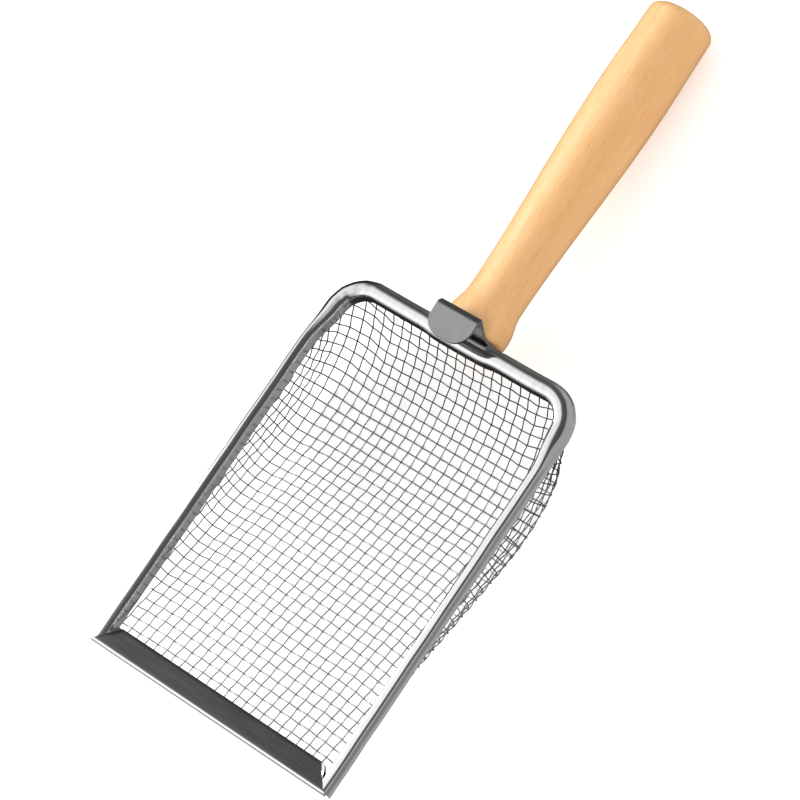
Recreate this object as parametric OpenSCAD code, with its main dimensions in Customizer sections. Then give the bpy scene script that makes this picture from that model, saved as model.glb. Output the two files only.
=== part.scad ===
// Beach sand scoop: a wire-cloth basket in a folded sheet rim, with a turned wooden grip.
// Each piece is drawn flat, with the rim's top at z = 0 and the front edge at y = 0.
// rest() then tips the whole scoop back, so it sits on its basket and the end of its grip.

/* [Rim] */
// outer width across the two side rails
rim_w = 120; // [100:1:150]
// length from the front edge to the back of the rim
rim_l = 180; // [160:1:220]
// outer radius of the two back corners
rim_corner_r = 17; // [12:0.5:24]
// width across the two legs of the folded channel
channel_w = 4.4; // [4.2:0.1:5.6]
// height of the folded channel
channel_h = 6.8; // [6:0.1:8]
// thickness of the rim and lip sheet
sheet_t = 0.6; // [0.5:0.1:0.8]
// how far the outer leg leans out at its bottom edge
leg_flare = 0.4; // [0.2:0.1:0.6]

/* [Basket] */
// deepest point of the cloth below the top of the rim
basket_depth = 37; // [30:0.5:44]
// radius of the sweep from the floor up to the back
back_r = 57; // [50:1:64]
// radius of the crease between the floor and each side
crease_r = 8; // [6:0.5:10]
// thickness of the closed shell that stands for the woven cloth
cloth_t = 0.5; // [0.4:0.1:1.3]

/* [Front lip] */
// depth of the folded strip from front to back
lip_d = 10; // [8:0.5:14]
// outer radius of the rolled front edge
lip_roll_r = 1.3; // [1.2:0.1:1.6]
// how far the back of each mitred end stands in from the rim's outer face
lip_end_inset = 8.5; // [6:0.5:11]
// height of the turned-up flange on each mitred end
lip_flange_h = 1.6; // [1:0.1:2]

/* [Bracket] */
// width of the folded bracket
bracket_w = 20; // [16:0.5:24]
// thickness of the bracket plate
bracket_t = 1.2; // [1:0.1:1.6]
// height of the top of the bracket above the rim
bracket_top = 14.5; // [12:0.5:20]
// how far the back plate reaches below the top of the rim
bracket_drop = 17; // [15:0.5:20]
// height above the rim where the plate starts to lean back
lean_z = 2; // [1:0.5:4]
// backward lean of the top of the plate, in degrees
lean = 17; // [8:1:20]
// length of the flap in front of the fold
flap_l = 11.5; // [9:0.5:14]
// radius of the flap's two front corners
flap_corner_r = 7.5; // [5:0.5:9]
// outer radius of the fold
fold_r = 2.4; // [2:0.1:3]
// downward slope of the flap, in degrees
flap_slope = 4; // [0:1:12]

/* [Grip] */
// length of the wooden grip
grip_l = 156; // [130:1:170]
// widest diameter, in the palm
grip_d = 30; // [27:0.1:33]
// diameter of the foot against the bracket
foot_d = 27.8; // [26:0.1:30]
// diameter of the neck
neck_d = 23.7; // [21:0.1:25]
// diameter just before the rounded end
end_d = 28.8; // [26:0.1:30]
// radius of the rounded edge of the foot
foot_round_r = 2; // [1:0.5:3]
// radius of the rounded end
end_round_r = 6; // [4:0.5:9]
// height of the grip's axis at its foot, below the top of the rim
grip_drop = 7.6; // [6:0.1:9]
// upward slope of the grip, in degrees
grip_rise = 0.8; // [0:0.1:3]
// distance from the foot to the neck
neck_at = 16.5; // [14:0.5:24]
// distance from the foot to the widest point
palm_at = 115; // [95:1:120]

/* [Screw] */
// shank diameter
screw_d = 3.6; // [3:0.1:4.2]
// head diameter
screw_head_d = 6.4; // [6:0.1:7]
// head height
screw_head_h = 2.2; // [1.8:0.1:2.6]
// length of the shank
screw_l = 32; // [25:1:45]

/* [Hidden] */
$fn = 96;
fit = 0.02;                     // radial room round the screw
rail_x = rim_w/2 - channel_w/2; // centre line of each side rail
leg_in = channel_w/2 - sheet_t; // half the slot between the legs
bend_r = rim_corner_r - channel_w/2;
plan_r = bend_r + cloth_t/2;    // outer corner of the cloth inside the channel
corner_x = rim_w/2 - rim_corner_r;
corner_y = rim_l - rim_corner_r;
slot_y = rim_l - channel_w/2;   // middle of the back channel
top_gap = sheet_t + 0.2;        // cloth stops this far below the top of the rim

// The floor runs straight from the rolled front edge and touches the back sweep.
roll_y = lip_roll_r;
roll_z = -lip_roll_r;
sweep_z = back_r - basket_depth;
sweep_y = slot_y + cloth_t/2 - sqrt(back_r*back_r - pow(sweep_z + channel_h, 2));
reach = norm([sweep_y - roll_y, sweep_z - roll_z]);
floor_slope = asin((back_r - cloth_t/2)/reach) - atan2(sweep_z - roll_z, sweep_y - roll_y);
floor_l = sqrt(reach*reach - pow(back_r - cloth_t/2, 2));

// The side of the cloth dips under the inner leg behind this point.
under_y = roll_y + (channel_h + 4 - lip_roll_r)/tan(floor_slope);
trough_over = 0.1;              // the trough is this much wider than the plan, each side
sweep_over = 1;                 // the sweep starts this many degrees inside the floor

// Bracket and grip.
plate_y = rim_l + leg_flare;
grip_y = plate_y + bracket_t;
screw_z = -channel_h - screw_head_d/2 - 0.6;
fold_z = bracket_top - fold_r;
fold_y = grip_y + (fold_z - lean_z)*tan(lean) - fold_r/cos(lean);
foot_len = 5;                   // short straight length at the foot of the grip
grip_steps = 40;

// Resting pose: a line that touches the basket sweep and the rounded end of the grip.
end_ring = end_d/2 - end_round_r;
end_cy = grip_y + (grip_l - end_round_r)*cos(grip_rise) + end_ring*sin(grip_rise);
end_cz = -grip_drop + (grip_l - end_round_r)*sin(grip_rise) - end_ring*cos(grip_rise);
span = norm([end_cy - sweep_y, end_cz - sweep_z]);
rest_tilt = asin((back_r - end_round_r)/span) + atan2(end_cz - sweep_z, end_cy - sweep_y);
rest_lift = back_r + sweep_y*sin(rest_tilt) - sweep_z*cos(rest_tilt);
end_top_y = grip_y + (grip_l - end_round_r)*cos(grip_rise) - end_ring*sin(grip_rise);
end_top_z = -grip_drop + (grip_l - end_round_r)*sin(grip_rise) + end_ring*cos(grip_rise);
rest_back = end_top_y*cos(rest_tilt) + end_top_z*sin(rest_tilt) + end_round_r;
rest_front = -channel_h*sin(rest_tilt);
rest_y = (rest_front + rest_back)/2;

// one sub-part, or all of them

module rest() {
    translate([0, -rest_y, rest_lift])
        rotate([-rest_tilt, 0, 0])
            children();
}

// Lays a profile drawn in (y, z) across the scoop, centred on x = 0.
module across(width) {
    translate([-width/2, 0, 0])
        rotate([90, 0, 90])
            linear_extrude(width)
                children();
}

// Section of the rim: a rounded top with an upright inner leg and a flared outer leg.
module channel_section() {
    difference() {
        translate([0, -channel_w/2])
            circle(r = channel_w/2);
        translate([0, -channel_w/2])
            circle(r = leg_in);
        translate([-channel_w, -2*channel_w])
            square([2*channel_w, 1.5*channel_w]);
    }
    translate([-channel_w/2, -channel_h])
        square([sheet_t, channel_h - channel_w/2]);
    polygon([
        [leg_in, -channel_w/2],
        [channel_w/2, -channel_w/2],
        [channel_w/2 + leg_flare, -channel_h],
        [leg_in + leg_flare, -channel_h]
    ]);
}

// Plan of everything in front of the two mitre lines.
module mitre_plan() {
    polygon([
        [-rim_w/2 - leg_flare, 0],
        [rim_w/2 + leg_flare, 0],
        [rim_w/2 - lip_end_inset, lip_d + 0.5],
        [-rim_w/2 + lip_end_inset, lip_d + 0.5]
    ]);
}

module side_rail() {
    translate([rail_x, corner_y, 0])
        rotate([90, 0, 0])
            linear_extrude(corner_y)
                channel_section();
}

module back_corner() {
    translate([corner_x, corner_y, 0])
        rotate_extrude(angle = 90)
            translate([bend_r, 0])
                channel_section();
}

module back_rail() {
    translate([-corner_x, slot_y, 0])
        rotate([90, 0, 90])
            linear_extrude(2*corner_x)
                channel_section();
}

module rim_channel() {
    color("silver")
        rest()
            difference() {
                union() {
                    side_rail();
                    mirror([1, 0, 0])
                        side_rail();
                    back_corner();
                    mirror([1, 0, 0])
                        back_corner();
                    back_rail();
                }
                translate([0, 0, -2*channel_h])
                    linear_extrude(3*channel_h)
                        mitre_plan();
            }
}

// Section of the lip: two layers of sheet joined by the rolled front edge.
module lip_section() {
    strip = (lip_d - roll_y)/cos(floor_slope);
    translate([roll_y, roll_z])
        rotate(-floor_slope) {
            difference() {
                circle(r = lip_roll_r);
                circle(r = lip_roll_r - sheet_t);
                translate([0, -2*lip_roll_r])
                    square(4*lip_roll_r);
            }
            translate([0, lip_roll_r - sheet_t])
                square([strip, sheet_t]);
            translate([0, -lip_roll_r])
                square([strip, sheet_t]);
        }
}

// Upright flange along the right-hand mitred end of the lip.
module lip_flange() {
    base_z = roll_z - (lip_d - roll_y)*tan(floor_slope) + lip_roll_r - sheet_t;
    intersection() {
        translate([0, 0, base_z])
            linear_extrude(lip_flange_h + sheet_t - 0.2)
                difference() {
                    mitre_plan();
                    translate([-sheet_t, 0])
                        mitre_plan();
                    square([rim_w/2, lip_d*0.45]);
                    translate([0, lip_d])
                        square([rim_w, lip_d]);
                    translate([-rim_w, 0])
                        square([rim_w, 2*lip_d]);
                }
        across(2*rim_w)
            translate([roll_y, roll_z])
                rotate(-floor_slope)
                    translate([0, lip_roll_r - sheet_t])
                        square([2*lip_d, lip_flange_h + sheet_t]);
    }
}

module front_lip() {
    color("dimgray")
        rest() {
            intersection() {
                across(rim_w + 2*leg_flare)
                    lip_section();
                translate([0, 0, -2*channel_h])
                    linear_extrude(3*channel_h)
                        mitre_plan();
            }
            lip_flange();
            mirror([1, 0, 0])
                lip_flange();
        }
}

// Half-width of the cloth form, inset from its outer face.
function form_w(inset) = rail_x + cloth_t/2 - inset;

// Cross-section of the basket with rounded creases; x is width, y is depth from the sweep's axis.
module trough(inset) {
    r = crease_r - inset;
    half = form_w(inset) + trough_over;
    translate([-half, 0])
        square([2*half, back_r - crease_r]);
    translate([-half + r, 0])
        square([2*(half - r), back_r - inset]);
    for (side = [-1, 1])
        translate([side*(half - r), back_r - crease_r])
            circle(r = r);
}

// Plan of the basket: straight sides and two round back corners, open at the front.
module basket_plan(inset) {
    half = form_w(inset);
    back = slot_y + cloth_t/2 - inset;
    translate([-half, -lip_d])
        square([2*half, corner_y + lip_d]);
    translate([-corner_x, -lip_d])
        square([2*corner_x, back + lip_d]);
    for (side = [-1, 1])
        translate([side*corner_x, corner_y])
            circle(r = plan_r - inset);
}

// Straight floor, from the rolled front edge to the start of the back sweep.
module floor_run(inset, start) {
    translate([0, roll_y, roll_z])
        rotate([-floor_slope, 0, 0])
            translate([0, floor_l, back_r - cloth_t/2])
                rotate([90, 0, 0])
                    linear_extrude(floor_l - start)
                        mirror([0, 1])
                            trough(inset);
}

// Round sweep from the floor up to the back.
module back_sweep(inset) {
    translate([0, sweep_y, sweep_z])
        rotate([-90 - floor_slope - sweep_over, 0, 0])
            rotate([90, 0, 90])
                rotate_extrude(angle = 90 + floor_slope + sweep_over)
                    rotate(-90)
                        trough(inset);
}

// Solid form of the basket, inset from its outer face and cut off level at the given height.
module basket_form(inset, start, top) {
    intersection() {
        union() {
            floor_run(inset, start);
            back_sweep(inset);
        }
        translate([0, 0, -2*basket_depth])
            linear_extrude(2*basket_depth + top)
                basket_plan(inset);
    }
}

// Where the cloth stops at the lip's ends and along the foot of each inner leg.
module side_trim() {
    lip_half = rim_w/2 - lip_end_inset - 0.5;
    leg_half = rim_w/2 - channel_w - 0.05;
    translate([lip_half, -lip_d, -2*channel_h])
        cube([rim_w, 2*lip_d + 0.3, 3*channel_h]);
    translate([leg_half, -lip_d, -2*channel_h - 2])
        cube([rim_w, under_y + lip_d, 3*channel_h + 2]);
}

module wire_cloth() {
    color("lightgray")
        rest()
            difference() {
                basket_form(0, 0, -top_gap);
                basket_form(cloth_t, -lip_d, channel_h);
                side_trim();
                mirror([1, 0, 0])
                    side_trim();
            }
}

// Plan of the bracket: square at the back, with two large round corners at the front.
module flap_plan() {
    front = fold_y - flap_l;
    deep = 2*flap_l + fold_r;
    translate([-bracket_w/2, front + flap_corner_r])
        square([bracket_w, deep]);
    translate([-bracket_w/2 + flap_corner_r, front])
        square([bracket_w - 2*flap_corner_r, deep]);
    for (side = [-1, 1])
        translate([side*(bracket_w/2 - flap_corner_r), front + flap_corner_r])
            circle(r = flap_corner_r);
}

// Side section of the bracket: upright plate, leaning top, fold and flap.
module bracket_section() {
    lean_l = (fold_z - lean_z)/cos(lean) + fold_r*tan(lean);
    translate([plate_y, -bracket_drop])
        square([bracket_t, bracket_drop + lean_z]);
    translate([plate_y, lean_z])
        polygon([
            [0, -0.01],
            [bracket_t, -0.01],
            [bracket_t, 0],
            [bracket_t + lean_l*sin(lean), lean_l*cos(lean)],
            [bracket_t + lean_l*sin(lean) - bracket_t*cos(lean), lean_l*cos(lean) + bracket_t*sin(lean)],
            [0, bracket_t*tan(lean/2)]
        ]);
    translate([fold_y, fold_z]) {
        intersection() {
            difference() {
                circle(r = fold_r);
                circle(r = fold_r - bracket_t);
            }
            union() {
                rotate(-lean)
                    square(2*fold_r);
                rotate(flap_slope)
                    square(2*fold_r);
            }
        }
        rotate(flap_slope)
            translate([-2*flap_l, fold_r - bracket_t])
                square([2*flap_l, bracket_t]);
    }
}

module handle_bracket() {
    color("darkgray")
        rest()
            difference() {
                intersection() {
                    across(bracket_w)
                        bracket_section();
                    translate([0, 0, -2*bracket_drop])
                        linear_extrude(4*bracket_drop)
                            flap_plan();
                }
                translate([0, plate_y - 1, screw_z])
                    rotate([-90, 0, 0])
                        cylinder(r = screw_d/2 + fit, h = bracket_t + 2);
            }
}

module handle_screw() {
    color("gainsboro")
        rest()
            translate([0, plate_y, screw_z])
                rotate([-90, 0, 0])
                    difference() {
                        union() {
                            cylinder(d = screw_d, h = screw_l);
                            translate([0, 0, -screw_head_h])
                                cylinder(d1 = screw_head_d - 1.4, d2 = screw_head_d, h = 0.8);
                            translate([0, 0, 0.8 - screw_head_h])
                                cylinder(d = screw_head_d, h = screw_head_h - 0.8);
                        }
                        for (turn = [0, 90])
                            rotate(turn)
                                translate([-screw_head_d*0.3, -0.4, -screw_head_h - 1])
                                    cube([screw_head_d*0.6, 0.8, 2.2]);
                    }
}

// Smooth step from 0 to 1.
function ease(t) = (1 - cos(180*min(1, max(0, t))))/2;

// Radius of the grip at a distance from its foot.
function grip_r(s) =
    foot_d/2
    - (foot_d - neck_d)/2*ease((s - foot_len)/(neck_at - foot_len))
    + (grip_d - neck_d)/2*ease((s - neck_at)/(palm_at - neck_at))
    - (grip_d - end_d)/2*ease((s - palm_at)/(grip_l - end_round_r - palm_at));

module grip_section() {
    body_l = grip_l - end_round_r;
    ring = end_d/2 - end_round_r;
    start = foot_round_r;
    polygon(concat(
        [[0, start]],
        [for (i = [0:grip_steps]) let (s = start + (body_l - start)*i/grip_steps) [grip_r(s), s]],
        [[0, body_l]]
    ));
    translate([0, -2])
        square([foot_d/2 - foot_round_r, foot_round_r + 3]);
    intersection() {
        translate([foot_d/2 - foot_round_r, start])
            circle(r = foot_round_r);
        square([foot_d, start + 0.01]);
    }
    square([ring, grip_l]);
    intersection() {
        translate([ring, body_l])
            circle(r = end_round_r);
        translate([0, body_l - 1])
            square([grip_d, end_round_r + 1]);
    }
}

module handle() {
    color("burlywood")
        rest()
            difference() {
                translate([0, grip_y, -grip_drop])
                    rotate([grip_rise - 90, 0, 0])
                        rotate_extrude()
                            grip_section();
                translate([-grip_d, grip_y - grip_d, -grip_d])
                    cube([2*grip_d, grip_d, 2*grip_d]);
                translate([0, grip_y - 1, screw_z])
                    rotate([-90, 0, 0])
                        cylinder(r = screw_d/2 + fit, h = screw_l + 1);
            }
}

rim_channel();
front_lip();
wire_cloth();
handle_bracket();
handle_screw();
handle();
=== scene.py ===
import math

import bmesh
import bpy
import numpy as np
from mathutils import Matrix, Vector


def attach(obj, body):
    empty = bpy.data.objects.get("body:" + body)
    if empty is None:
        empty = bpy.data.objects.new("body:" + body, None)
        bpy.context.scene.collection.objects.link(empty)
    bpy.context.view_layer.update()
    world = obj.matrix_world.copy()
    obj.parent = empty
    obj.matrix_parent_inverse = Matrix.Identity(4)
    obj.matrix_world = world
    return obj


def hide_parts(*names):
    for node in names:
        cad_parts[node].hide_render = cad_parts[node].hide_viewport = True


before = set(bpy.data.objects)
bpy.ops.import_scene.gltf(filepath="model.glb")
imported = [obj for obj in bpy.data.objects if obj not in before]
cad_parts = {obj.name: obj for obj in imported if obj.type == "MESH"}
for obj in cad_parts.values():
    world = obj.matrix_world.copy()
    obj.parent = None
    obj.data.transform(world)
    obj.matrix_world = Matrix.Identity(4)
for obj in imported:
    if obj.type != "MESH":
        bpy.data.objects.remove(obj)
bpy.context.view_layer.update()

# Sizes repeated from the CAD, in millimetres and degrees. Everything below is laid out in the
# rim's own frame: x across, y from the front edge to the grip, z up, with the rim's top at z = 0.
RIM_W = 120.0
RIM_L = 180.0
RIM_CORNER_R = 17.0
CHANNEL_W = 4.4
CHANNEL_H = 6.8
SHEET_T = 0.6
LEG_FLARE = 0.4
BASKET_DEPTH = 37.0
BACK_R = 57.0
CREASE_R = 8.0
SHELL_T = 0.5
LIP_D = 10.0
LIP_ROLL_R = 1.3
LIP_END_INSET = 8.5
LIP_FLANGE_H = 1.6
BRACKET_T = 1.2
GRIP_L = 156.0
GRIP_D = 30.0
FOOT_D = 27.8
NECK_D = 23.7
END_D = 28.8
FOOT_ROUND_R = 2.0
END_ROUND_R = 6.0
GRIP_DROP = 7.6
GRIP_RISE = 0.8
NECK_AT = 16.5
PALM_AT = 115.0
FOOT_LEN = 5.0

# Radius of one wire of the cloth.
WIRE_R = 0.275

# Places that follow from these sizes.
RAIL_X = RIM_W / 2 - CHANNEL_W / 2
OUTER_X = RIM_W / 2 + LEG_FLARE
LEG_OUT = CHANNEL_W / 2 - SHEET_T / 2
BEND_R = RIM_CORNER_R - CHANNEL_W / 2
CORNER_X = RIM_W / 2 - RIM_CORNER_R
CORNER_Y = RIM_L - RIM_CORNER_R
SLOT_Y = RIM_L - CHANNEL_W / 2
ROLL_Y = LIP_ROLL_R
ROLL_Z = -LIP_ROLL_R
PLATE_Y = RIM_L + LEG_FLARE
GRIP_Y = PLATE_Y + BRACKET_T

# The floor of the basket runs straight from the rolled edge and touches the round back sweep.
# The CAD's thin shell is the outer face of the cloth, and the weave lies just inside it. From
# UNDER_Y on, the floor is more than 4 mm below the rim's lower edge.
SWEEP_R = BACK_R - 2 * WIRE_R
SWEEP_Z = BACK_R - BASKET_DEPTH
SWEEP_Y = SLOT_Y + SHELL_T / 2 - math.sqrt(BACK_R**2 - (SWEEP_Z + CHANNEL_H) ** 2)
REACH = math.hypot(SWEEP_Y - ROLL_Y, SWEEP_Z - ROLL_Z)
FLOOR_SLOPE = math.asin(SWEEP_R / REACH) - math.atan2(SWEEP_Z - ROLL_Z, SWEEP_Y - ROLL_Y)
FLOOR_L = math.sqrt(REACH**2 - SWEEP_R**2)
UNDER_Y = ROLL_Y + (CHANNEL_H + 4 - LIP_ROLL_R) / math.tan(FLOOR_SLOPE)

# How the CAD sets the rim's frame down on the floor: the tilt, the shift and the lift.
REST_TILT = math.radians(4.842082)
REST_Y = 167.977692
REST_LIFT = 47.854157

# How the sheet is folded along each stretch of the rim: how far its top falls towards the
# basket, in degrees, and the radii of its inner and outer bends. The outer leg starts to flare
# outward at FLARE_H above its lower edge, in a wide bend.
LEFT_FOLD = (15, 1.7, 1.3)
RIGHT_FOLD = (8, 1.3, 0.8)
BACK_FOLD = (6, 2.3, 3.6)
FLARE_H = 2.4
FLARE_BEND_R = 3.0
FOLD_POINTS = 60

# Round the back the rim's inner side spreads over the cloth, and leans outward a little at its
# top. The section passes from the rails' shape to this one over a stretch of the rails.
BACK_SPREAD = 3.4
BACK_LEAN = 0.2
SPREAD_FROM = 146.0
SPREAD_OVER = 18.0

# The rim was bent by hand: slow waves along it, and short ripples at the top of its corners. Its
# plan has a point at least every RIM_STEP, and about every CORNER_STEP round the corners.
RIM_STEP = 3.0
RIM_WAVES = (18, 70)
RIM_UNEVEN = 0.05
CORNER_STEP = 0.8
RIPPLE_WAVES = (3.5, 7)
CORNER_RIPPLE = 0.03
CORNER_BLEND = 3.0

# Beside the bracket the back of the rim also stands out a little.
BACK_BULGE = 0.9
BULGE_FROM = 11.0
BULGE_OVER = 8.0

# The mitre between lip and rim runs from the outer front corner inward and back, with a hair's
# gap between the two.
MITRE_X = LEG_FLARE + LIP_END_INSET
MITRE_Y = LIP_D + 0.5
MITRE_GAP = 0.04

# The lip is swept through this many sections from end to end. The edge of its lower layer is a
# thin line in front of the roll, with this place and these half-sizes in y and z.
LIP_RINGS = 25
HEM_AT = (0.02, -2.05)
HEM_RADII = (0.34, 0.2)
HEM_SIDES = 10
HEM_INSET = 0.3

# The flanges turned up at the lip's ends stay below the rim's top, and towards the back their
# tops bend outward to the rails.
FLANGE_FROM = 1.6
FLANGE_T = SHEET_T * 0.8
FLANGE_TOP = -0.15
FLANGE_RINGS = 15
LEDGE_W = 1.2
LEDGE_FROM = 5.5
LEDGE_OVER = 3.0

# The grip's end is slightly domed.
END_DOME = 1.2
GRIP_SIDES = 96

# The crease between the basket's floor and walls is sharp at the shallow front. It gets rounder
# in the back corners, from and over these distances in x and y.
LEAST_CREASE = 0.5
CORNER_CREASE = 6.0
CREASE_FROM = (30.0, 148.0)
CREASE_OVER = (20.0, 14.0)

# The woven cloth: its pitch, where its columns and rows start, and how many there are.
PITCH = 4.575
FIRST_ROW = 12.4
COLUMN_SHIFT = 0.12
HALF_COLUMNS = 21
ROWS_BEFORE = 2
ROWS_AFTER = 42

# Drawing the net over the basket. The middle column and this many on each side of it stay where
# they are laid, and the net is first laid a little past the rim's top.
PINNED_COLUMNS = 8
NET_TOP = 7.0
NET_PASSES = 500
NET_STEP = 0.45
SHEAR_STIFFNESS = 0.12
WIRE_STIFFNESS = 0.1

# Hand-formed wires drift sideways in slow waves.
WAVER_WAVES = (35, 110)
WAVER_SIZE = 0.11

# Each wire is a tube that swings to either side of the net, by a little more than its radius.
# Shorter runs than the shortest are left out.
CRIMP = 1.02
WEAVE_STEPS = 4
WIRE_SIDES = 6
SHORTEST_RUN = 3

# The wires end inside the rim's slot, this far below its top.
WIRE_TOP = -1.6

# The camera in the rim's frame: its place, and the directions of its view and of its top.
CAMERA_AT = (516.4, -11.2, 1036.3)
CAMERA_LOOK = (-0.4465, 0.1323, -0.8850)
CAMERA_UP = (-0.4529, 0.8195, 0.3510)

# What the steel mirrors: greys from straight away from the light, -1, to straight towards it, 1,
# on the walls of a studio and on the table under the scoop. One passes into the other as the
# mirrored direction rises.
LIGHT_FROM = (-0.70, -0.60, 0.15)
WALL_GREYS = [
    (-1.0, 0.30),
    (-0.8, 0.30),
    (-0.68, 0.06),
    (0.05, 0.08),
    (0.13, 0.26),
    (0.32, 0.72),
    (0.55, 0.95),
    (0.75, 1.0),
    (1.0, 1.0),
]
TABLE_GREYS = [
    (-1.0, 0.34),
    (-0.62, 0.34),
    (-0.5, 0.24),
    (-0.15, 0.05),
    (0.1, 0.02),
    (0.8, 0.02),
    (0.9, 0.50),
    (1.0, 0.60),
]
TABLE_TO_WALL = (0.12, 0.50)
MIRROR_STRENGTH = 1.15

RANDOM = np.random.default_rng(7)


# ---------------------------------------------------------------- frames and meshes


def to_row(points):
    """Rim-frame millimetres to row-frame metres."""
    points = np.asarray(points, float)
    c, s = math.cos(REST_TILT), math.sin(REST_TILT)
    x, y, z = points[..., 0], points[..., 1], points[..., 2]
    return np.stack([x, y * c + z * s - REST_Y, z * c - y * s + REST_LIFT], -1) / 1000


def turn_to_row(direction):
    """A rim-frame direction in the row frame."""
    c, s = math.cos(REST_TILT), math.sin(REST_TILT)
    x, y, z = direction
    return Vector((x, y * c + z * s, z * c - y * s))


def make_piece(name, points, faces, sharp_angle=35.0):
    """A smooth-shaded mesh piece from rim-frame points, riding on the scoop."""
    mesh = bpy.data.meshes.new(name)
    mesh.from_pydata(to_row(points).tolist(), [], faces)
    skin = bmesh.new()
    skin.from_mesh(mesh)
    bmesh.ops.recalc_face_normals(skin, faces=skin.faces)
    skin.to_mesh(mesh)
    skin.free()
    mesh.polygons.foreach_set("use_smooth", [True] * len(mesh.polygons))
    mesh.set_sharp_from_angle(angle=math.radians(sharp_angle))
    piece = bpy.data.objects.new(name, mesh)
    bpy.context.scene.collection.objects.link(piece)
    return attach(piece, "root")


def loft(rings, cap=True):
    """Points and faces of a tube through equal closed rings, with flat ends."""
    rings = np.asarray(rings, float)
    count, sides = rings.shape[:2]
    faces = []
    for i in range(count - 1):
        a, b = i * sides, (i + 1) * sides
        for k in range(sides):
            n = (k + 1) % sides
            faces.append((a + k, a + n, b + n, b + k))
    if cap:
        faces.append(tuple(range(sides))[::-1])
        faces.append(tuple(range((count - 1) * sides, count * sides)))
    return rings.reshape(-1, 3), faces


def add_rings(points, faces, rings):
    """Adds a closed tube through the rings to a list of points and faces."""
    new_points, new_faces = loft(rings)
    first = len(points)
    points.extend(map(tuple, new_points))
    faces.extend(tuple(first + i for i in face) for face in new_faces)


def rounded_path(corners, radii, arc_step=7.5):
    """A 2-D path through the corners, with each inner corner turned into an arc."""
    corners = [np.array(c, float) for c in corners]
    path = [corners[0]]
    for before, here, after, r in zip(corners, corners[1:], corners[2:], radii):
        u = (before - here) / np.linalg.norm(before - here)
        v = (after - here) / np.linalg.norm(after - here)
        half = math.acos(float(np.clip(u @ v, -1, 1))) / 2
        centre = here + (u + v) / np.linalg.norm(u + v) * r / math.sin(half)
        start = here + u * r / math.tan(half) - centre
        end = here + v * r / math.tan(half) - centre
        a0 = math.atan2(start[1], start[0])
        turn = (math.atan2(end[1], end[0]) - a0 + math.pi) % (2 * math.pi) - math.pi
        steps = max(2, math.ceil(abs(math.degrees(turn)) / arc_step))
        for k in range(steps + 1):
            a = a0 + turn * k / steps
            path.append(centre + r * np.array([math.cos(a), math.sin(a)]))
    path.append(corners[-1])
    return np.array(path)


def normals_2d(path):
    """Left-hand normals of a 2-D path."""
    d = np.gradient(path, axis=0)
    d[0], d[-1] = path[1] - path[0], path[-1] - path[-2]
    d /= np.linalg.norm(d, axis=1)[:, None]
    return np.stack([-d[:, 1], d[:, 0]], 1)


def sheet_outline(path, thickness, end_steps=4):
    """Closed outline of bent sheet round a 2-D centre line, with rounded cut edges."""
    n = normals_2d(path) * thickness / 2

    def cut_edge(end, normal):
        along = np.array([normal[1], -normal[0]])
        angles = np.pi * np.arange(1, end_steps)[:, None] / end_steps
        return end + normal * np.cos(angles) + along * np.sin(angles)

    return np.vstack(
        [path + n, cut_edge(path[-1], n[-1]), (path - n)[::-1], cut_edge(path[0], -n[0])]
    )


def resample(path, step):
    """A 2-D path with extra points, so that no straight length is longer than the step."""
    out = [path[0]]
    for a, b in zip(path, path[1:]):
        count = max(1, math.ceil(float(np.linalg.norm(b - a)) / step))
        out.extend(a + (b - a) * k / count for k in range(1, count + 1))
    return np.array(out)


def smooth_step(t):
    """0 up to t = 0, 1 from t = 1, and an even curve between."""
    t = np.clip(t, 0, 1)
    return t * t * (3 - 2 * t)


def slow_noise(length, step, waves, size):
    """A smooth random line: a few sine waves with lengths between the two given."""
    s = np.arange(length) * step
    line = np.zeros(length)
    for _ in range(3):
        turns = 2 * math.pi * s / RANDOM.uniform(*waves) + RANDOM.uniform(0, 2 * math.pi)
        line += RANDOM.normal(0, size) * np.sin(turns)
    return line


# ---------------------------------------------------------------- rim, lip and grip


def mitre_y(x):
    """Where the mitre line between lip and rim crosses a given |x|."""
    return (OUTER_X - abs(x)) * MITRE_Y / MITRE_X


def mitre_x(y):
    """Half-width of the lip at a given y."""
    return OUTER_X - y * MITRE_X / MITRE_Y


def even(path, count):
    """A 2-D path as a fixed number of evenly spaced points."""
    steps = np.linalg.norm(np.diff(path, axis=0), axis=1)
    at = np.concatenate([[0], np.cumsum(steps)])
    wanted = np.linspace(0, at[-1], count)
    return np.stack([np.interp(wanted, at, path[:, k]) for k in (0, 1)], 1)


def fold_path(inner_low, inner_high, fall, inner_bend, outer_bend):
    """Centre line of the folded rim: a is outward from the middle of its slot, z is up.

    The top falls towards the basket by the given angle, between two bends.
    """
    fall = math.radians(fall)
    crown = outer_bend * (1 / math.tan(math.pi / 4 - fall / 2) - 1)
    top = crown - SHEET_T / 2
    bottom = -CHANNEL_H + SHEET_T / 2
    path = rounded_path(
        [
            (inner_low, bottom),
            (inner_high, top - (LEG_OUT - inner_high) * math.tan(fall)),
            (LEG_OUT, top),
            (LEG_OUT, -CHANNEL_H + FLARE_H),
            (LEG_OUT + LEG_FLARE, bottom),
        ],
        [inner_bend, outer_bend, FLARE_BEND_R],
        arc_step=5,
    )
    return even(path, FOLD_POINTS)


def rim_paths():
    """The rim's fold along the left rail, along the right rail and round the back."""
    left = fold_path(-LEG_OUT, -LEG_OUT, *LEFT_FOLD)
    right = fold_path(-LEG_OUT, -LEG_OUT, *RIGHT_FOLD)
    inner = -LEG_OUT - BACK_SPREAD
    return left, right, fold_path(inner, inner + BACK_LEAN, *BACK_FOLD)


def back_share(y):
    """0 along the side rails and 1 round the back of the rim."""
    return float(smooth_step((y - SPREAD_FROM) / SPREAD_OVER))


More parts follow.
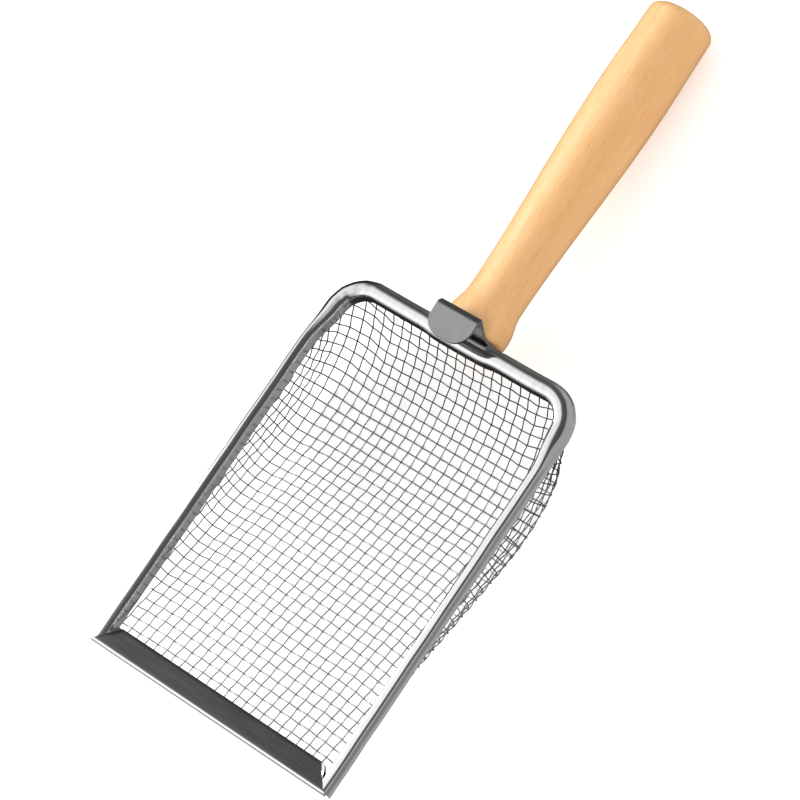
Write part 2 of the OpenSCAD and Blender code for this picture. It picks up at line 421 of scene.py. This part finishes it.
def rim_plan():
    """The middle of the rim's slot from above, from the right front end round to the left."""
    corners = [(RAIL_X, 0.0), (RAIL_X, SLOT_Y), (-RAIL_X, SLOT_Y), (-RAIL_X, 0.0)]
    return resample(rounded_path(corners, [BEND_R, BEND_R], arc_step=3), RIM_STEP)


def rim_wear(plan):
    """Offsets along the plan: slow waves inward, and ripples down from the corners' top."""
    uneven = slow_noise(len(plan), RIM_STEP, RIM_WAVES, RIM_UNEVEN)
    ripple = slow_noise(len(plan), CORNER_STEP, RIPPLE_WAVES, CORNER_RIPPLE)
    past_x = (np.abs(plan[:, 0]) - CORNER_X) / CORNER_BLEND
    past_y = (plan[:, 1] - CORNER_Y) / CORNER_BLEND
    in_corner = smooth_step(past_x) * smooth_step(past_y)
    return uneven - uneven.max(), (ripple - ripple.max()) * in_corner


def build_rim():
    """The folded rim: its section swept along both rails and round the back."""
    plan = rim_plan()
    outward = -normals_2d(plan)
    left, right, back = rim_paths()
    rings = []
    for p, n, uneven, ripple in zip(plan, outward, *rim_wear(plan)):
        side = right if p[0] > 0 else left
        section = sheet_outline(side + (back - side) * back_share(p[1]), SHEET_T)
        bulge = BACK_BULGE * n[1] ** 2 * smooth_step((abs(p[0]) - BULGE_FROM) / BULGE_OVER)
        a = section[:, 0] + uneven + bulge
        z = section[:, 1] + ripple * (1 + section[:, 1] / CHANNEL_H)
        rings.append(np.stack([p[0] + n[0] * a, p[1] + n[1] * a, z], 1))
    past_mitre = mitre_y(RAIL_X - CHANNEL_W / 2) + 1
    rings = [r for r, p in zip(rings, plan) if p[1] == 0 or p[1] > past_mitre]
    for end in (0, -1):
        rings[end] = [(x, mitre_y(x) + MITRE_GAP, z) for x, _, z in rings[end]]
    points, faces = loft(rings)
    rim = make_piece("rim", points, faces, sharp_angle=50)
    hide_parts("rim_channel")
    return rim


def lip_frame(u, v):
    """Point (y, z) at u along the floor and v above it, measured from the roll's centre."""
    c, s = math.cos(FLOOR_SLOPE), math.sin(FLOOR_SLOPE)
    return ROLL_Y + u * c + v * s, ROLL_Z - u * s + v * c


def lip_outline():
    """Outline of the lip's section along the floor: two layers joined by the rolled edge."""
    strip = (LIP_D - ROLL_Y) / math.cos(FLOOR_SLOPE) - SHEET_T / 2
    layer = LIP_ROLL_R - SHEET_T / 2
    bend = layer * 0.98
    path = rounded_path(
        [(strip, layer), (-layer, layer), (-layer, -layer), (strip, -layer)],
        [bend, bend],
        arc_step=15,
    )
    return sheet_outline(resample(path, 1.5), SHEET_T)


def build_lip():
    """The folded lip across the open front, cut along both mitres."""
    rows = [lip_frame(u, v) for u, v in lip_outline()]
    rings = []
    for t in np.linspace(-1, 1, LIP_RINGS):
        rings.append([(t * (mitre_x(max(y, 0)) - MITRE_GAP / 2), y, z) for y, z in rows])
    points, faces = [], []
    add_rings(points, faces, rings)
    add_hem(points, faces)
    lip = make_piece("lip", points, faces, sharp_angle=50)
    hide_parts("front_lip")
    return lip


def build_end_flanges():
    """The bright flanges at both ends of the lip."""
    points, faces = [], []
    for side in (-1, 1):
        add_end_flange(points, faces, side)
    flanges = make_piece("lip_ends", points, faces, sharp_angle=50)
    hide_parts("front_lip")
    return flanges


def add_hem(points, faces):
    """The thin edge of the lower layer that shows in front of the roll."""
    angles = 2 * np.pi * np.arange(HEM_SIDES) / HEM_SIDES
    y = HEM_AT[0] + HEM_RADII[0] * np.cos(angles)
    z = HEM_AT[1] + HEM_RADII[1] * np.sin(angles)
    rings = []
    for t in np.linspace(-1, 1, LIP_RINGS):
        x = np.full(HEM_SIDES, t * (mitre_x(0) - HEM_INSET))
        rings.append(np.stack([x, y, z], 1))
    add_rings(points, faces, rings)


def flange_section(y, share):
    """Section (x, z) of the right flange at a given y and share of its length."""
    _, z_top = lip_frame((y - ROLL_Y) / math.cos(FLOOR_SLOPE), LIP_ROLL_R)
    rise = LIP_FLANGE_H * min(1.0, 0.25 + 1.5 * share)
    tip = min(z_top + rise, FLANGE_TOP)
    base = z_top - SHEET_T
    x_out = mitre_x(y) - 0.05
    x_in = x_out - FLANGE_T
    x_ledge = x_out + LEDGE_W * float(smooth_step((y - LEDGE_FROM) / LEDGE_OVER))
    return [
        (x_in, base),
        (x_out, base),
        (x_out, tip - 0.55),
        (x_ledge, tip - 0.25),
        (x_ledge, tip),
        (x_in + 0.1, tip - 0.3),
    ]


def add_end_flange(points, faces, side):
    """The thin flange turned up along one mitred end of the lip."""
    rings = []
    for share in np.linspace(0, 1, FLANGE_RINGS):
        y = FLANGE_FROM + (LIP_D - FLANGE_FROM) * share
        rings.append([(side * x, y, z) for x, z in flange_section(y, share)])
    add_rings(points, faces, rings)


def ease(t):
    """0 up to t = 0, 1 from t = 1, and half a cosine wave between."""
    return (1 - math.cos(math.pi * min(1.0, max(0.0, t)))) / 2


def grip_radius(s):
    """Radius of the grip at a distance from its foot."""
    r = FOOT_D / 2 - (FOOT_D - NECK_D) / 2 * ease((s - FOOT_LEN) / (NECK_AT - FOOT_LEN))
    r += (GRIP_D - NECK_D) / 2 * ease((s - NECK_AT) / (PALM_AT - NECK_AT))
    last = GRIP_L - END_ROUND_R - PALM_AT
    return r - (GRIP_D - END_D) / 2 * ease((s - PALM_AT) / last)


def grip_profile():
    """Distance along the axis and radius, from the edge of the foot to the middle of the end."""
    profile = [(0.0, FOOT_D / 2 - FOOT_ROUND_R)]
    for k in range(1, 7):
        a = math.radians(90 * k / 6)
        r = FOOT_D / 2 - FOOT_ROUND_R * (1 - math.sin(a))
        profile.append((FOOT_ROUND_R * (1 - math.cos(a)), r))
    body_end = GRIP_L - END_ROUND_R
    profile += [(s, grip_radius(s)) for s in np.linspace(FOOT_ROUND_R, body_end, 90)[1:]]
    flat_r = END_D / 2 - END_ROUND_R
    for k in range(1, 13):
        a = math.radians(90 * k / 12)
        s = body_end + (END_ROUND_R - END_DOME) * math.sin(a)
        profile.append((s, flat_r + END_ROUND_R * math.cos(a)))
    for k in range(1, 9):
        t = 1 - k / 8
        profile.append((GRIP_L - END_DOME * t * t, flat_r * t))
    return profile


def grip_point(s, r, a):
    """A point of the grip at s along its rising axis, r from the axis and turned by a."""
    rise = math.radians(GRIP_RISE)
    x, up = r * math.cos(a), r * math.sin(a)
    y = GRIP_Y + s * math.cos(rise) - up * math.sin(rise)
    z = -GRIP_DROP + s * math.sin(rise) + up * math.cos(rise)
    return x, max(y, GRIP_Y), z


def build_grip():
    """The turned grip: its profile spun round the axis, with a flat foot and a domed end."""
    *body, (tip_s, tip_r) = grip_profile()
    turns = [2 * math.pi * k / GRIP_SIDES for k in range(GRIP_SIDES)]
    points = [grip_point(s, r, a) for s, r in body for a in turns]
    points.append(grip_point(tip_s, tip_r, 0.0))
    faces = []
    for ring in range(len(body) - 1):
        a, b = ring * GRIP_SIDES, (ring + 1) * GRIP_SIDES
        for k in range(GRIP_SIDES):
            n = (k + 1) % GRIP_SIDES
            faces.append((a + k, b + k, b + n, a + n))
    faces.append(tuple(range(GRIP_SIDES)))
    tip = len(points) - 1
    last = tip - GRIP_SIDES
    faces += [(last + k, tip, last + (k + 1) % GRIP_SIDES) for k in range(GRIP_SIDES)]
    grip = make_piece("grip", points, faces, sharp_angle=60)
    grip.visible_glossy = False
    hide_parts("handle")
    return grip


# ---------------------------------------------------------------- woven cloth


def floor_drop(y):
    """Depth of the cloth's middle surface below the rim's top, along the centre."""
    start = ROLL_Y + FLOOR_L * math.cos(FLOOR_SLOPE)
    flat = -ROLL_Z + (y - ROLL_Y) * math.tan(FLOOR_SLOPE)
    inside = np.maximum(SWEEP_R**2 - (y - SWEEP_Y) ** 2, 0)
    return np.where(y < start, flat, np.sqrt(inside) - SWEEP_Z)


def cloth_side(p):
    """Signed distance from the cloth's middle surface: negative inside the basket."""
    x, y, z = p[..., 0], p[..., 1], p[..., 2]
    c, s = math.cos(FLOOR_SLOPE), math.sin(FLOOR_SLOPE)
    along = (y - ROLL_Y) * c - (z - ROLL_Z) * s
    below = -((z - ROLL_Z) * c + (y - ROLL_Y) * s)
    round_part = np.hypot(y - SWEEP_Y, z - SWEEP_Z) - SWEEP_R
    floor = np.where(along < FLOOR_L, below, round_part)
    qx = np.abs(x) - (RAIL_X - BEND_R)
    qy = y - (SLOT_Y - BEND_R)
    wall = np.hypot(np.maximum(qx, 0), np.maximum(qy, 0)) - BEND_R
    wall = wall + np.minimum(np.maximum(qx, qy), 0)
    past_x = (np.abs(x) - CREASE_FROM[0]) / CREASE_OVER[0]
    past_y = (y - CREASE_FROM[1]) / CREASE_OVER[1]
    largest = CREASE_R + CORNER_CREASE * (smooth_step(past_x) * smooth_step(past_y))
    r = np.clip(0.8 * (floor_drop(y) - CHANNEL_H), LEAST_CREASE, largest)
    a, b = floor + r, wall + r
    return np.hypot(np.maximum(a, 0), np.maximum(b, 0)) + np.minimum(np.maximum(a, b), 0) - r


def cloth_normal(p):
    """Outward unit normals of the cloth."""
    h = 1e-3
    g = np.stack([cloth_side(p + h * e) - cloth_side(p - h * e) for e in np.eye(3)], -1)
    return g / np.maximum(np.linalg.norm(g, axis=-1, keepdims=True), 1e-9)


def settle(p, passes=2):
    """Points moved onto the cloth's middle surface."""
    for _ in range(passes):
        p = p - cloth_side(p)[..., None] * cloth_normal(p)
    return p


def up_the_wall(w):
    """Where a distance w across from the middle of the floor ends: |x| and height up the wall."""
    half_floor = RAIL_X - CREASE_R
    quarter = CREASE_R * math.pi / 2
    over = w - half_floor
    if over <= 0:
        return w, 0.0
    if over < quarter:
        a = over / CREASE_R
        return half_floor + CREASE_R * math.sin(a), CREASE_R * (1 - math.cos(a))
    return RAIL_X, CREASE_R + over - quarter


def first_layout():
    """Crossing points laid along the basket: columns across x, rows along the floor and back."""
    columns = (np.arange(-HALF_COLUMNS, HALF_COLUMNS + 1) + COLUMN_SHIFT) * PITCH
    rows = FIRST_ROW + np.arange(-ROWS_BEFORE, ROWS_AFTER + 1) * PITCH
    grid = np.zeros((len(columns), len(rows), 3))
    for j, s in enumerate(rows):
        turn = FLOOR_SLOPE - max(0.0, s - FLOOR_L) / SWEEP_R
        out = np.array([0, -math.sin(turn), -math.cos(turn)])
        if s < FLOOR_L:
            base = np.array([0, *lip_frame(s, 0)])
        else:
            base = np.array([0, SWEEP_Y, SWEEP_Z]) + SWEEP_R * out
        for i, w in enumerate(columns):
            x, rise = up_the_wall(abs(w))
            grid[i, j] = base - out * rise + np.array([math.copysign(x, w), 0, 0])
    return grid


def pull(p, move, first, second, rest, stiff, live):
    """Adds to move the share that brings each pair of crossings to its rest distance."""
    d = p[second] - p[first]
    length = np.linalg.norm(d, axis=-1, keepdims=True)
    share = 0.5 * stiff * (length - rest) / np.maximum(length, 1e-6) * d
    share = share * (live[first] & live[second])[..., None]
    move[first] += share
    move[second] -= share


def straighten(p, move, live, stiff):
    """Adds to move the share that takes sharp bends out of both sets of wires."""
    for axis in (0, 1):
        q, on, out = (v.swapaxes(0, axis) for v in (p, live, move))
        inner = (on[2:] & on[1:-1] & on[:-2])[..., None]
        out[1:-1] += stiff * (q[2:] + q[:-2] - 2 * q[1:-1]) * inner


def net_springs():
    """Pairs of neighbouring crossings, with their rest distance and stiffness."""
    a, b, full = slice(None, -1), slice(1, None), slice(None)
    diagonal = PITCH * math.sqrt(2)
    return [
        ((a, full), (b, full), PITCH, 1.0),
        ((full, a), (full, b), PITCH, 1.0),
        ((a, a), (b, b), diagonal, SHEAR_STIFFNESS),
        ((a, b), (b, a), diagonal, SHEAR_STIFFNESS),
    ]


def relaxed_net():
    """The crossing points after the cloth has been drawn evenly over the basket."""
    p = first_layout()
    live = p[..., 2] < NET_TOP
    pinned = np.zeros(live.shape, bool)
    pinned[HALF_COLUMNS - PINNED_COLUMNS : HALF_COLUMNS + PINNED_COLUMNS + 1] = True
    keep = p.copy()
    for _ in range(NET_PASSES):
        move = np.zeros_like(p)
        for first, second, rest, stiff in net_springs():
            pull(p, move, first, second, rest, stiff, live)
        straighten(p, move, live, WIRE_STIFFNESS)
        move[pinned] = 0
        p = settle(p + NET_STEP * move, 1)
    p[pinned] = keep[pinned]
    return settle(p), live


def waver(count, length):
    """Slow sideways drift of hand-formed wires: one row of offsets for each wire."""
    return np.array([slow_noise(length, PITCH, WAVER_WAVES, WAVER_SIZE) for _ in range(count)])


def shaken_net():
    """The net with the small waviness of a real cloth, kept on the surface."""
    p, live = relaxed_net()
    columns, rows = p.shape[:2]
    across = np.gradient(p, axis=0)
    along = np.gradient(p, axis=1)
    across /= np.linalg.norm(across, axis=-1, keepdims=True)
    along /= np.linalg.norm(along, axis=-1, keepdims=True)
    p = p + across * waver(columns, rows)[..., None]
    p = p + along * waver(rows, columns).T[..., None]
    return settle(p), live


def cubic(points, steps):
    """Catmull-Rom points through a polyline, steps to each span."""
    p = np.vstack([2 * points[0] - points[1], points, 2 * points[-1] - points[-2]])
    t = np.arange(steps)[:, None] / steps
    out = []
    for a, b, c, d in zip(p, p[1:], p[2:], p[3:]):
        square = (2 * a - 5 * b + 4 * c - d) * t**2
        cube = (3 * b - a - 3 * c + d) * t**3
        out.append(0.5 * (2 * b + (c - a) * t + square + cube))
    return np.vstack(out + [points[-1:]])


def inside_edges(p):
    """True where a wire is seen or clamped, and not cut away at the rim or the lip."""
    x, y, z = np.abs(p[:, 0]), p[:, 1], p[:, 2]
    keep = z < WIRE_TOP
    keep &= (y > UNDER_Y) | (x < RIM_W / 2 - CHANNEL_W - 0.15)
    keep &= (y > LIP_D + 0.4) | (x < RIM_W / 2 - LIP_END_INSET - 0.8)
    return keep & (y > ROLL_Y + 0.4)


def runs(mask):
    """Start and end of each unbroken run of true values."""
    edges = np.flatnonzero(np.diff(np.concatenate([[0], mask.astype(int), [0]])))
    return list(zip(edges[::2], edges[1::2]))


def wire_paths(net, live, flip):
    """Centre lines of one set of wires, each passing over and under the other set."""
    paths = []
    for k in range(net.shape[0]):
        for start, end in runs(live[k]):
            if end - start < SHORTEST_RUN:
                continue
            line = cubic(net[k, start:end], WEAVE_STEPS)
            phase = (k + start + flip) * math.pi
            phase += np.arange(len(line)) * math.pi / WEAVE_STEPS
            line = line + cloth_normal(line) * (WIRE_R * CRIMP * np.cos(phase))[:, None]
            seen = runs(inside_edges(line))
            paths.extend(line[a:b] for a, b in seen if b - a > SHORTEST_RUN)
    return paths


def tube(line, radius, sides):
    """Rings of a round wire along a centre line."""
    tangent = np.gradient(line, axis=0)
    tangent /= np.linalg.norm(tangent, axis=1)[:, None]
    side = np.cross(tangent, cloth_normal(line))
    side /= np.linalg.norm(side, axis=1)[:, None]
    up = np.cross(side, tangent)
    a = 2 * np.pi * np.arange(sides) / sides
    ring = side[:, None] * np.cos(a)[:, None] + up[:, None] * np.sin(a)[:, None]
    return line[:, None] + radius * ring


def build_wires(name, net, live, flip):
    """One set of the cloth's wires, as one piece."""
    points, faces = [], []
    for line in wire_paths(net, live, flip):
        add_rings(points, faces, tube(line, WIRE_R, WIRE_SIDES))
    wires = make_piece(name, points, faces, sharp_angle=70)
    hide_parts("wire_cloth")
    return wires


# ---------------------------------------------------------------- materials

# Depths of the bump in metres, and the wood's colours. The last one is painted shade, the orange
# of the grip's shaded right side.
STREAK_DEPTH = 0.00002
GRAIN_DEPTH = 0.0001
GRAIN_DARK = (0.74, 0.40, 0.145)
GRAIN_MIDDLE = (0.86, 0.52, 0.225)
GRAIN_LIGHT = (0.92, 0.60, 0.30)
PORE = (0.55, 0.24, 0.07)
# Painted shade: the orange that the grip's right side is shaded with.
PAINTED_SHADE_ORANGE = (0.80, 0.36, 0.09)


def new_material(name):
    """A new node material, its tree and its Principled shader."""
    material = bpy.data.materials.new(name)
    material.use_nodes = True
    return material, material.node_tree, material.node_tree.nodes["Principled BSDF"]


def mapped_coordinates(tree, scale):
    """Object coordinates stretched by the given scale."""
    coordinates = tree.nodes.new("ShaderNodeTexCoord")
    mapping = tree.nodes.new("ShaderNodeMapping")
    mapping.inputs["Scale"].default_value = scale
    tree.links.new(coordinates.outputs["Object"], mapping.inputs["Vector"])
    return mapping.outputs["Vector"]


def noise(tree, vector, scale, detail=3.0, distortion=0.0):
    """The value of a noise texture."""
    node = tree.nodes.new("ShaderNodeTexNoise")
    node.inputs["Scale"].default_value = scale
    node.inputs["Detail"].default_value = detail
    node.inputs["Distortion"].default_value = distortion
    tree.links.new(vector, node.inputs["Vector"])
    return node.outputs["Fac"]


def ramp(tree, value, stops):
    """A colour ramp with the given (place, colour) stops."""
    node = tree.nodes.new("ShaderNodeValToRGB")
    elements = node.color_ramp.elements
    while len(elements) < len(stops):
        elements.new(0.5)
    for element, (place, colour) in zip(elements, stops):
        element.position = place
        element.color = (*colour, 1)
    tree.links.new(value, node.inputs["Fac"])
    return node.outputs["Color"]


def to_range(tree, value, low, high, start=0.0, end=1.0):
    """A value between start and end brought between two limits."""
    node = tree.nodes.new("ShaderNodeMapRange")
    node.inputs["From Min"].default_value = start
    node.inputs["From Max"].default_value = end
    node.inputs["To Min"].default_value = low
    node.inputs["To Max"].default_value = high
    tree.links.new(value, node.inputs["Value"])
    return node.outputs["Result"]


def bump(tree, shader, value, strength, distance):
    """A bump from the value, in metres."""
    node = tree.nodes.new("ShaderNodeBump")
    node.inputs["Strength"].default_value = strength
    node.inputs["Distance"].default_value = distance
    tree.links.new(value, node.inputs["Height"])
    tree.links.new(node.outputs["Normal"], shader.inputs["Normal"])


def mix_values(tree, share, first, second, kind="RGBA"):
    """A colour, or a number if kind is FLOAT, between two. Each is a socket or a fixed value."""
    node = tree.nodes.new("ShaderNodeMix")
    node.data_type = kind
    ends = {socket.name: socket for socket in node.inputs if socket.enabled}
    for name, value in (("Factor", share), ("A", first), ("B", second)):
        if isinstance(value, bpy.types.NodeSocket):
            tree.links.new(value, ends[name])
        else:
            ends[name].default_value = value
    return next(socket for socket in node.outputs if socket.enabled)


def share_along(tree, axis, start, end):
    """0 before one place along an axis of the scoop and 1 after another, in metres."""
    coordinates = tree.nodes.new("ShaderNodeTexCoord")
    split = tree.nodes.new("ShaderNodeSeparateXYZ")
    tree.links.new(coordinates.outputs["Object"], split.inputs["Vector"])
    return to_range(tree, split.outputs[axis], 0, 1, start, end)


def steel(name, dark, light, rough, streaks, depth, changed=None):
    """Steel whose colour, roughness and fine streaks vary a little.

    changed is (start, end, grey, roughness): a grey and roughness that it passes to between two
    places along the scoop, for the lip's polished edge and for painted shade on the wires.
    """
    material, tree, shader = new_material(name)
    shader.inputs["Metallic"].default_value = 1.0
    fine = noise(tree, mapped_coordinates(tree, streaks), 1.0, 4)
    broad = noise(tree, mapped_coordinates(tree, (1, 1, 1)), 45, 3)
    colour = ramp(tree, fine, [(0.3, dark), (0.7, light)])
    roughness = to_range(tree, broad, *rough)
    if changed:
        start, end, new_grey, new_roughness = changed
        share = share_along(tree, "Y", start, end)
        colour = mix_values(tree, share, colour, (new_grey, new_grey, new_grey, 1))
        roughness = mix_values(tree, share, roughness, new_roughness, "FLOAT")
    tree.links.new(colour, shader.inputs["Base Color"])
    tree.links.new(roughness, shader.inputs["Roughness"])
    bump(tree, shader, fine, depth, STREAK_DEPTH)
    return material


def polished_steel():
    """The rim's bright sheet, with faint streaks along the rails."""
    return steel(
        "polished_steel",
        dark=(0.80, 0.80, 0.80),
        light=(0.90, 0.90, 0.90),
        rough=(0.06, 0.13),
        streaks=(700, 60, 700),
        depth=0.05,
    )


def lip_steel():
    """The lip's sheet, brushed from side to side, with a polished rolled edge. Its dark grey is
    painted shade for the dark that it mirrors.
    """
    edge = to_row((0, ROLL_Y, ROLL_Z))[1]
    return steel(
        "lip_steel",
        # Painted shade: the brushed sheet is made dark grey to stand for the dark surroundings it
        # mirrors.
        dark=(0.17, 0.17, 0.17),
        light=(0.25, 0.25, 0.25),
        rough=(0.26, 0.38),
        streaks=(60, 1600, 1600),
        depth=0.15,
        changed=(edge + 0.0002, edge - 0.0001, 0.90, 0.10),
    )


def plate_steel():
    """The bracket's plate, brushed from front to back."""
    return steel(
        "plate_steel",
        dark=(0.30, 0.30, 0.30),
        light=(0.38, 0.38, 0.37),
        rough=(0.24, 0.36),
        streaks=(1800, 90, 90),
        depth=0.07,
    )


def wire_steel():
    """The cloth's drawn wire, with painted shade that darkens it towards the back wall."""
    back_wall = to_row((0, RIM_L, 0))[1]
    return steel(
        "wire_steel",
        dark=(0.44, 0.44, 0.44),
        light=(0.66, 0.66, 0.65),
        rough=(0.25, 0.40),
        streaks=(900, 900, 900),
        depth=0.1,
        # Painted shade: the wires turn nearly black towards the back wall, where the rim shades
        # the cloth.
        changed=(back_wall - 0.085, back_wall - 0.025, 0.08, 0.35),
    )


def screw_steel():
    """The bright screw."""
    return steel(
        "screw_steel",
        dark=(0.62, 0.62, 0.62),
        light=(0.78, 0.78, 0.77),
        rough=(0.15, 0.28),
        streaks=(400, 400, 400),
        depth=0.1,
    )


def beech():
    """Light hardwood with fine lengthwise grain and short flecks under a satin varnish.

    It gets more orange from left to right: painted shade on its right side.
    """
    material, tree, shader = new_material("beech")
    grain = noise(tree, mapped_coordinates(tree, (1100, 70, 1100)), 1.0, 4, 0.3)
    bands = noise(tree, mapped_coordinates(tree, (90, 14, 90)), 1.0, 3, 0.6)
    figure = mix_values(tree, 0.5, grain, bands, "FLOAT")
    colour = ramp(tree, figure, [(0.3, GRAIN_DARK), (0.5, GRAIN_MIDDLE), (0.7, GRAIN_LIGHT)])
    flecks = noise(tree, mapped_coordinates(tree, (1700, 280, 1700)), 1.0, 2, 0.2)
    pores = to_range(tree, flecks, 0, 0.3, 0.56, 0.72)
    colour = mix_values(tree, pores, colour, (*PORE, 1))
    # Painted shade: the grip's colour turns more orange towards its right side.
    right_side = share_along(tree, "X", -0.010, 0.016)
    orange = to_range(tree, right_side, 0, 0.65)
    colour = mix_values(tree, orange, colour, (*PAINTED_SHADE_ORANGE, 1))
    tree.links.new(colour, shader.inputs["Base Color"])
    tree.links.new(to_range(tree, grain, 0.38, 0.5), shader.inputs["Roughness"])
    shader.inputs["Coat Weight"].default_value = 0.9
    shader.inputs["Coat IOR"].default_value = 1.6
    shader.inputs["Coat Roughness"].default_value = 0.28
    bump(tree, shader, grain, 0.15, GRAIN_DEPTH)
    return material


def paint(piece, material):
    """Gives the whole piece one material."""
    piece.data.materials.clear()
    piece.data.materials.append(material)


def rounded_edges(piece, width):
    """Small bevels that catch the light on a carried-over CAD piece."""
    bevel = piece.modifiers.new("bevel", "BEVEL")
    bevel.width = width
    bevel.segments = 2
    bevel.limit_method = "ANGLE"
    bevel.angle_limit = math.radians(40)


# ---------------------------------------------------------------- floor, light and camera


def build_floor():
    """A plain pale floor that glows slightly and isn't mirrored by the steel."""
    mesh = bpy.data.meshes.new("floor")
    half = 6.0
    corners = [(-half, -half, 0), (half, -half, 0), (half, half, 0), (-half, half, 0)]
    mesh.from_pydata(corners, [], [(0, 1, 2, 3)])
    floor = bpy.data.objects.new("floor", mesh)
    bpy.context.scene.collection.objects.link(floor)
    material, _, shader = new_material("pale_floor")
    shader.inputs["Base Color"].default_value = (0.92, 0.92, 0.92, 1)
    shader.inputs["Roughness"].default_value = 0.9
    shader.inputs["Emission Color"].default_value = (1, 1, 1, 1)
    shader.inputs["Emission Strength"].default_value = 0.27
    paint(floor, material)
    floor.visible_glossy = False


def area_light(name, place, target, size, power):
    """A rectangular lamp that points at the target."""
    light = bpy.data.lights.new(name, "AREA")
    light.shape = "RECTANGLE"
    light.size, light.size_y = size
    light.energy = power
    lamp = bpy.data.objects.new(name, light)
    lamp.location = place
    lamp.rotation_euler = (Vector(target) - Vector(place)).to_track_quat("-Z", "Y").to_euler()
    bpy.context.scene.collection.objects.link(lamp)


def grey_ramp(tree, value, stops):
    """A ramp of greys over a value that runs from 0 to 1, with stops placed from -1 to 1."""
    return ramp(tree, value, [((place + 1) / 2, (level,) * 3) for place, level in stops])


def mirrored_studio(tree):
    """The grey that the steel mirrors in each direction: white at the front left, dark behind."""
    direction = tree.nodes.new("ShaderNodeTexCoord").outputs["Generated"]
    dot = tree.nodes.new("ShaderNodeVectorMath")
    dot.operation = "DOT_PRODUCT"
    dot.inputs[1].default_value = Vector(LIGHT_FROM).normalized()
    tree.links.new(direction, dot.inputs[0])
    towards_light = to_range(tree, dot.outputs["Value"], 0, 1, -1, 1)
    split = tree.nodes.new("ShaderNodeSeparateXYZ")
    tree.links.new(direction, split.inputs["Vector"])
    upward = to_range(tree, split.outputs["Z"], 0, 1, *TABLE_TO_WALL)
    table = grey_ramp(tree, towards_light, TABLE_GREYS)
    walls = grey_ramp(tree, towards_light, WALL_GREYS)
    return mix_values(tree, upward, table, walls)


def build_world():
    """Plain white light all round, and a studio that only mirrored rays see."""
    world = bpy.data.worlds.new("studio")
    world.use_nodes = True
    tree = world.node_tree
    plain = tree.nodes["Background"]
    plain.inputs["Color"].default_value = (1, 1, 1, 1)
    plain.inputs["Strength"].default_value = 1.0
    mirrored = tree.nodes.new("ShaderNodeBackground")
    mirrored.inputs["Strength"].default_value = MIRROR_STRENGTH
    tree.links.new(mirrored_studio(tree), mirrored.inputs["Color"])
    path = tree.nodes.new("ShaderNodeLightPath")
    choice = tree.nodes.new("ShaderNodeMixShader")
    tree.links.new(path.outputs["Is Glossy Ray"], choice.inputs["Fac"])
    tree.links.new(plain.outputs["Background"], choice.inputs[1])
    tree.links.new(mirrored.outputs["Background"], choice.inputs[2])
    tree.links.new(choice.outputs["Shader"], tree.nodes["World Output"].inputs["Surface"])
    bpy.context.scene.world = world


def build_light():
    """The world, one soft lamp on the left, and colours shown at full contrast."""
    build_world()
    bpy.context.scene.view_settings.view_transform = "Standard"
    area_light("left_softbox", (-1.1, -0.25, 0.55), (0, 0, 0.02), (0.6, 0.9), 13)


def build_camera():
    """The camera, looking down from the right with a long lens."""
    camera = bpy.data.objects.new("camera", bpy.data.cameras.new("camera"))
    bpy.context.scene.collection.objects.link(camera)
    camera.data.lens = 135
    camera.data.sensor_width = 36
    camera.data.clip_start = 0.05
    look = turn_to_row(CAMERA_LOOK).normalized()
    right = look.cross(turn_to_row(CAMERA_UP).normalized()).normalized()
    up = right.cross(look).normalized()
    turn = Matrix((right, up, -look)).transposed().to_4x4()
    camera.matrix_world = Matrix.Translation(Vector(to_row(CAMERA_AT))) @ turn
    bpy.context.scene.camera = camera


# ---------------------------------------------------------------- the scoop


def finish_cad_piece(node, material, edge):
    """Gives a carried-over CAD node its material and small rounded edges."""
    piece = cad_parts[node]
    paint(piece, material)
    rounded_edges(piece, edge)


def build_scoop():
    """All pieces of the scoop, each with its material."""
    polished, wire = polished_steel(), wire_steel()
    paint(build_rim(), polished)
    paint(build_lip(), lip_steel())
    paint(build_end_flanges(), polished)
    paint(build_grip(), beech())
    net, live = shaken_net()
    paint(build_wires("warp_wires", net, live, 0), wire)
    paint(build_wires("weft_wires", net.transpose(1, 0, 2), live.T, 1), wire)
    finish_cad_piece("handle_bracket", plate_steel(), 0.00012)
    finish_cad_piece("handle_screw", screw_steel(), 0.0001)


build_scoop()
build_floor()
build_light()
build_camera()
